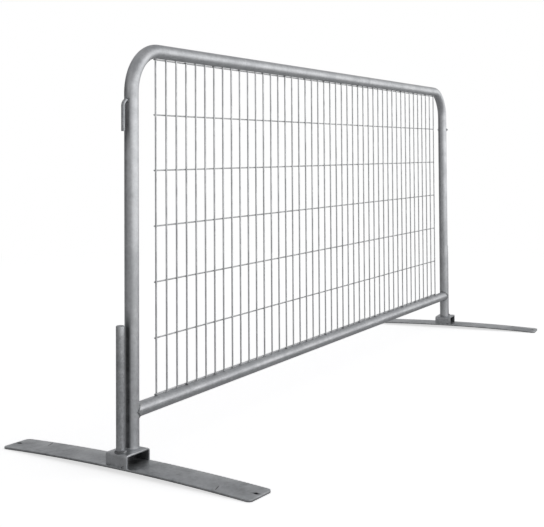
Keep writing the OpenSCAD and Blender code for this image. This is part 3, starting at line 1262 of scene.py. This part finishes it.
    def build_saddle(self) -> Piece:
        """Draws the bent channel that carries the spigots.

        Returns:
            The saddle.
        """
        mesh = new_mesh()
        outer = self.channel_line(self.saddle_w, self.saddle_h, self.saddle_bend)
        inner_r = self.saddle_bend - self.saddle_t
        inner = self.channel_line(self.saddle_w - 2 * self.saddle_t,
                                  self.saddle_h - self.saddle_t, inner_r)
        points = outer + inner[::-1]
        start = -self.saddle_l / 2
        verts = [mesh.verts.new((x - self.offset, start, self.saddle_bottom + z))
                 for x, z in points]
        mesh.faces.new(verts)
        thicken(mesh, Y_AXIS * self.saddle_l)
        for i in range(1, 5):
            cut(mesh, Y_AXIS * (self.saddle_l * (i / 5 - 0.5)), Y_AXIS)
        within = self.saddle_w / 2 - self.saddle_t + 0.1 * MM
        under = self.saddle_top - self.saddle_t + 0.1 * MM

        def shaded_and_caked(place: Vector) -> float:
            """Painted shade on the inside of the channel, deepest midway along it."""
            deep = 1.0 - 0.35 * abs(place.y) / (self.saddle_l / 2)
            return deep if abs(place.x + self.offset) < within and place.z < under else 0.0

        # Painted shade on the inside of the channel.
        shade_and_soil(mesh, shaded_and_caked)
        soften(mesh, 0.6 * MM, sharper=60)
        return seat(self.named("saddle_channel"), mesh, self.place)

    @staticmethod
    def channel_line(width: float, height: float, radius: float) -> list[tuple[float, float]]:
        """Points of one side of the channel's wall, from its left foot to its right foot.

        Args:
            width: width of the channel.
            height: height of the channel.
            radius: radius of its two bends.

        Returns:
            Points as pairs of X and Z.
        """
        points = [(-width / 2, 0.0)]
        for side, start in ((-1, 180), (1, 90)):
            middle = side * (width / 2 - radius)
            points += [(middle + point.x, height - radius + point.y)
                       for point in arc(start, -90, radius)]
        return points + [(width / 2, 0.0)]

    def build_saddle_tacks(self) -> Piece:
        """Draws the short welds along the saddle's lower edges.

        Returns:
            The welds.
        """
        mesh = new_mesh()
        for x in (-1, 1):
            for y in (-1, 1):
                centre = Vector((-self.offset + x * (self.saddle_w / 2 + 0.2 * MM),
                                 y * self.saddle_l / 3, self.saddle_bottom + 0.6 * MM))
                lump(mesh, centre, self.tack, rough=0.35, finer=3)
        return seat(self.named("saddle_tack_welds"), mesh, self.place)

    def build_spigot(self, spigot: str, x: float, low: float) -> Piece:
        """Turns one spigot.

        Args:
            spigot: which spigot.
            x: place across the foot.
            low: height of its lower end.

        Returns:
            The spigot.
        """
        mesh = new_mesh()
        top = self.spigot_top - self.spigot_chamfer
        run = Run(mesh, Vector((x, 0, low)), Z_AXIS, self.spigot_r, self.sides)
        run.straight(top - low, 10).straight(self.spigot_chamfer)
        share = 1 - self.spigot_chamfer / self.spigot_r
        rim = once(vert for edge in run.ring for vert in edge.verts)
        bmesh.ops.scale(mesh, verts=rim, vec=(share, share, 1),
                        space=Matrix.Translation((-x, 0, 0)))
        run.cap()
        soften(mesh, 0.4 * MM, steps=2, sharper=30)
        return seat(self.named(f"{spigot}_bar"), mesh, self.place)

    def build_ring_bead(self, spigot: str, x: float, z: float) -> Piece:
        """Draws the bead round a spigot.

        Args:
            spigot: which spigot.
            x: place of the spigot across the foot.
            z: height of the bead's middle.

        Returns:
            The bead.
        """
        ring = self.spigot_r + 0.35 * self.bead_r

        def seam(share: float) -> Vector:
            """Point on the seam round the spigot."""
            angle = 2 * math.pi * share
            return Vector((x + ring * math.cos(angle), ring * math.sin(angle), z))

        name = self.named(f"{spigot}_bead")
        mesh = weld_bead(name, seam, 2 * math.pi * ring, self.bead_r, uneven=0.22)
        return seat(name, mesh, self.place)

    def build_seat_ring(self) -> Piece:
        """Turns the ring between the leg and the saddle.

        Returns:
            The ring.
        """
        mesh = new_mesh()
        low = Vector((0, 0, self.saddle_top))
        walls = [Run(mesh, low, Z_AXIS, radius, self.sides).straight(self.ring_t)
                 for radius in (self.at.tube_r, self.spigot_r + 0.1 * MM)]
        join_walls(mesh, *walls)
        soften(mesh, 0.5 * MM)
        return seat(self.named("seat_ring_turned"), mesh, self.place)

    def build(self, finishes: Finishes) -> None:
        """Draws, dresses and seats every piece of the foot."""
        foot, plate = self.named("foot"), self.saddle_top - self.saddle_t
        spigots = (
            ("leg_spigot", 0.0, plate - self.spigot_through, plate - self.bead_rise),
            ("spare_spigot", -self.spigot_gap, self.saddle_top, self.saddle_top + self.bead_rise))
        for spigot, x, low, seam in spigots:
            bar, bead = self.build_spigot(spigot, x, low), self.build_ring_bead(spigot, x, seam)
            attach(bar, foot, finishes, Slot.ROD, self.named(spigot))
            attach(bead, foot, finishes, Slot.WELD, self.named(f"{spigot}_weld"))
        attach(self.build_bar(), foot, finishes, Slot.PLATE, self.named("foot_bar"))
        attach(self.build_marks(), foot, finishes, Slot.PLATE)
        attach(self.build_saddle(), foot, finishes, Slot.PLATE, self.named("saddle"))
        attach(self.build_saddle_tacks(), foot, finishes, Slot.WELD, self.named("saddle_tacks"))
        attach(self.build_seat_ring(), self.named("seat"), finishes, Slot.ROD,
               self.named("seat_ring"))


# ---- Studio ----


@dataclass
class Studio:
    """Pale floor, soft sky with a bright and a dark side, one soft box and the camera."""

    camera_at: Vector = field(default_factory=lambda: Vector((-3.4257, -1.6161, 0.8091)))
    heading: float = 28.52
    pitch: float = 1.67
    roll: float = -0.34
    lens: float = 68.69
    sensor: float = 36.0
    drop: float = -0.258
    bright_side: float = 75.0
    sky_steps: Sequence[tuple[float, float]] = (
        (-1.0, 0.02), (-0.88, 0.12), (-0.6, 0.55), (0.1, 0.62), (0.5, 0.92), (0.85, 1.5))
    zenith: float = 0.38
    dome_from: float = 0.08
    dome_full: float = 0.70
    ground: float = 0.55
    glow: float = 1.1
    glow_band: tuple[float, float] = (0.8, 5.0)
    floor_w: float = 60.0
    floor_light: float = 0.66
    floor_fade: tuple[float, float] = (2.2, 5.0)
    floor_gap: float = 0.2 * MM
    key_power: float = 4.0
    key_w: float = 2.4
    key_away: float = 3.0
    key_up: float = 2.8

    def facing(self, turn: float) -> Vector:
        """Level direction, turned to the right of the way from the object to the camera."""
        angle = math.radians(self.heading + 180 + turn)
        return Vector((math.cos(angle), math.sin(angle), 0))

    def build_camera(self) -> None:
        """Sets up the camera; its shift holds the feet in the frame."""
        data = bpy.data.cameras.new("camera")
        data.lens, data.sensor_width = self.lens, self.sensor
        data.shift_y = self.drop
        data.clip_start, data.clip_end = 0.05, 200
        camera = stand("camera", data)
        camera.location = self.camera_at
        turn = (Matrix.Rotation(math.radians(self.heading - 90), 3, "Z")
                @ Matrix.Rotation(math.radians(90 + self.pitch), 3, "X")
                @ Matrix.Rotation(math.radians(self.roll), 3, "Z"))
        camera.rotation_euler = turn.to_euler()
        bpy.context.scene.camera = camera

    def floor_material(self) -> bpy.types.Material:
        """Pale floor that fades into the backdrop and throws little light upwards.

        Returns:
            The material.
        """
        material = bpy.data.materials.new("pale_floor")
        sheet = NodeSheet(material)
        plain = sheet.add("BsdfDiffuse", Color=(0.8, 0.8, 0.8, 1))
        lift = sheet.add("Emission", Strength=self.floor_light)
        seen = sheet.add("AddShader")
        for layer, target in zip((plain, lift), seen.inputs):
            sheet.link(layer.outputs[0], target)
        unseen = sheet.add("BsdfDiffuse", Color=(self.ground, self.ground, self.ground, 1))
        glow = sheet.add("Emission", Strength=self.glow)
        backdrop = sheet.add("Emission", Strength=1.0)
        across = sheet.vector("DOT_PRODUCT", sheet.place, self.facing(self.bright_side))
        bounced = sheet.either(sheet.band(across, *self.glow_band), unseen, glow)
        distance = sheet.vector("LENGTH", sheet.place)
        far = sheet.either(sheet.band(distance, *self.floor_fade), seen, backdrop)
        surface = sheet.either(sheet.camera_ray(), bounced, far)
        sheet.add("OutputMaterial", Surface=surface.outputs[0])
        return material

    def build_floor(self) -> None:
        """Lays one half of the floor under each foot, which goes down with its foot."""
        half, material = self.floor_w / 2, self.floor_material()
        for side in Side:
            mesh = bmesh.new()
            bmesh.ops.create_grid(mesh, x_segments=1, y_segments=1, size=half)
            place = Vector((side.outward * half, 0, -self.floor_gap))
            bmesh.ops.translate(mesh, verts=mesh.verts, vec=place)
            data = bpy.data.meshes.new(f"floor_{side.value}")
            mesh.to_mesh(data)
            mesh.free()
            data.materials.append(material)
            floor = stand(f"floor_{side.value}", data)
            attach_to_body(floor, f"seat_{side.value}")

    def build_key(self) -> None:
        """Hangs the soft box that gives the feet their faint shadow."""
        data = bpy.data.lights.new("key_softbox", "AREA")
        data.shape, data.size, data.energy = "SQUARE", self.key_w, self.key_power
        light = stand("key_softbox", data)
        middle = Vector((0, 0, 0.5))
        away = self.facing(self.bright_side) * self.key_away
        light.location = middle + away + Z_AXIS * self.key_up
        light.rotation_mode = "QUATERNION"
        light.rotation_quaternion = (middle - light.location).to_track_quat("-Z", "Y")
        light.visible_camera = False

    def build_sky(self) -> None:
        """Surrounds the object with a sky that is bright on one side, and white behind it."""
        world = bpy.data.worlds.new("studio")
        bpy.context.scene.world = world
        sheet = NodeSheet(world)
        way = sheet.spot.outputs["Generated"]
        level = sheet.vector("NORMALIZE", sheet.vector("MULTIPLY", way, (1, 1, 0)))
        across = sheet.vector("DOT_PRODUCT", level, self.facing(self.bright_side))
        share = sheet.add("MapRange", Value=across, From_Min=-1).outputs["Result"]
        ramp = sheet.add("ValToRGB", Fac=share)
        ramp.color_ramp.interpolation = "EASE"
        steps = ramp.color_ramp.elements
        for i, (side, light) in enumerate(self.sky_steps):
            step = steps[i] if i < len(steps) else steps.new(1.0)
            step.position = (side + 1) / 2
            step.color = (light, light, light, 1)
        height = sheet.add("SeparateXYZ", Vector=way).outputs["Z"]
        overhead = sheet.band(height, self.dome_from, self.dome_full)
        dome = (self.zenith, self.zenith, self.zenith * 1.02)
        soft = sheet.add("Background", Color=sheet.blend(overhead, ramp.outputs["Color"], dome))
        white = sheet.add("Background", Color=(1, 1, 1, 1))
        surface = sheet.either(sheet.camera_ray(), soft, white)
        sheet.add("OutputWorld", Surface=surface.outputs[0])

    def build(self) -> None:
        """Builds the whole studio."""
        self.build_camera()
        self.build_floor()
        self.build_sky()
        self.build_key()
        bpy.context.scene.view_settings.view_transform = "Standard"


def main() -> None:
    """Builds the studio and every sub-assembly."""
    logging.basicConfig(level=logging.INFO, format="%(message)s")
    noise.seed_set(SEED)
    Studio().build()
    finishes = Finishes(FINISHES)
    at = Measures.from_frame()
    TubeFrame(at).build(finishes)
    WireInfill(at).build(finishes)
    Coupling(at).build(finishes)
    for side in Side:
        Foot(at, side).build(finishes)


if __name__ == "__main__":
    main()
